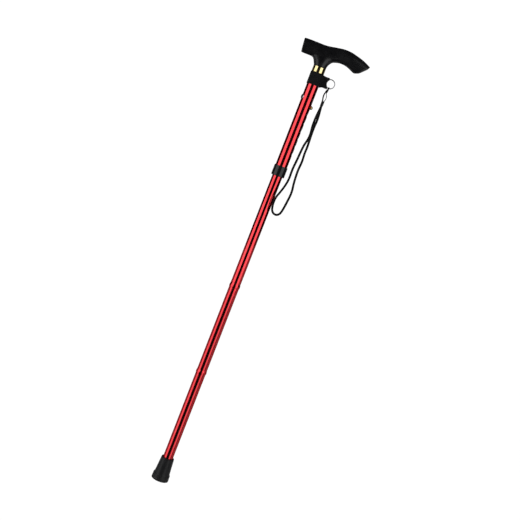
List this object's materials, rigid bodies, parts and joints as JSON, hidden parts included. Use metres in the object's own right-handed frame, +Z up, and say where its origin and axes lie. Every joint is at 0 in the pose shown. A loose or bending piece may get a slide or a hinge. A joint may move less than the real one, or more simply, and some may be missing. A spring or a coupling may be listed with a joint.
{
  "type": "folding walking cane",
  "caption": "Red folding walking cane with telescoping height, derby grip, lock collar, snap button, wrist strap and rubber foot.",
  "frame": {"origin": "centre of the rubber foot's underside, on the ground", "axes": "+Z up the shaft; +X the way the long end of the handle, the strap and the snap button point; +Y away from the side seen in front"},
  "size_m": [0.1284, 0.0332, 0.8633],
  "materials": {
    "red_anodised": "glossy red anodised",
    "soft_touch_black": "satin soft-touch",
    "black_plastic": "satin moulded",
    "nylon_grey": "moulded nylon",
    "polished_brass": "polished",
    "button_brass": "dull, worn",
    "steel": "nickel plated",
    "spring_steel": "tempered, oiled",
    "bare_aluminium": "turned",
    "foot_rubber": "matt moulded",
    "webbing_black": "woven nylon",
    "cord_black": "flat braided",
    "shock_cord": "braided elastic"
  },
  "bodies": {
    "root": {"handle_grip": "soft_touch_black", "handle_stem": "nylon_grey", "handle_rivet": "steel", "brass_collar": "polished_brass", "upper_tube": "red_anodised", "collet_sleeve": "black_plastic", "strap_band": "webbing_black"},
    "lock_collar": {"lock_collar": "black_plastic"},
    "adjuster": {"adjusting_tube": "red_anodised", "snap_spring": "spring_steel", "cord_anchor_top": "black_plastic", "cord_crimp_top": "steel", "elastic_cord": "shock_cord"},
    "button": {"snap_button": "button_brass"},
    "upper_section": {"upper_section_tube": "red_anodised", "upper_joint_spigot": "bare_aluminium"},
    "middle_section": {"middle_section_tube": "red_anodised", "middle_joint_spigot": "bare_aluminium"},
    "lower_section": {"lower_section_tube": "red_anodised", "lower_joint_spigot": "bare_aluminium", "cord_anchor_bottom": "black_plastic", "cord_crimp_bottom": "steel", "tip_washer": "steel", "rubber_tip": "foot_rubber"},
    "ring": {"strap_ring": "steel"},
    "strap": {"lace_hitch": "cord_black", "lace": "cord_black", "cord_joiner": "black_plastic", "wrist_cord": "cord_black"}
  },
  "joints": [
    {"name": "height_slide", "type": "slide", "parent": "root", "child": "adjuster", "axis": [0, 0, -1], "range_m": [0, 0.09]},
    {"name": "button_press", "type": "slide", "parent": "adjuster", "child": "button", "axis": [-1, 0, 0], "range_m": [0, 0.0055], "stiffness_N_per_m": 400, "springref_m": -0.008, "deforming": ["snap_spring"]},
    {"name": "lock_collar_turn", "type": "hinge", "parent": "root", "child": "lock_collar", "pos_m": [0, 0, 0.62], "axis": [0, 0, 1], "range_deg": [0, 270]},
    {"name": "upper_joint_pull", "type": "slide", "parent": "adjuster", "child": "upper_section", "axis": [0, 0, -1], "range_m": [0, 0.042], "stiffness_N_per_m": 120, "springref_m": -0.08, "deforming": ["elastic_cord"]},
    {"name": "middle_joint_pull", "type": "slide", "parent": "upper_section", "child": "middle_section", "axis": [0, 0, -1], "range_m": [0, 0.042], "stiffness_N_per_m": 120, "springref_m": -0.08, "deforming": ["elastic_cord"]},
    {"name": "lower_joint_pull", "type": "slide", "parent": "middle_section", "child": "lower_section", "axis": [0, 0, -1], "range_m": [0, 0.042], "stiffness_N_per_m": 120, "springref_m": -0.08, "deforming": ["elastic_cord"]},
    {"name": "ring_turn", "type": "hinge", "parent": "root", "child": "ring", "pos_m": [0.0285, 0, 0.797], "axis": [0, -1, 0], "range_deg": [0, 60]},
    {"name": "strap_swing", "type": "hinge", "parent": "ring", "child": "strap", "pos_m": [0.0285, 0, 0.78885], "axis": [-1, 0, 0], "range_deg": [0, 75]}
  ]
}
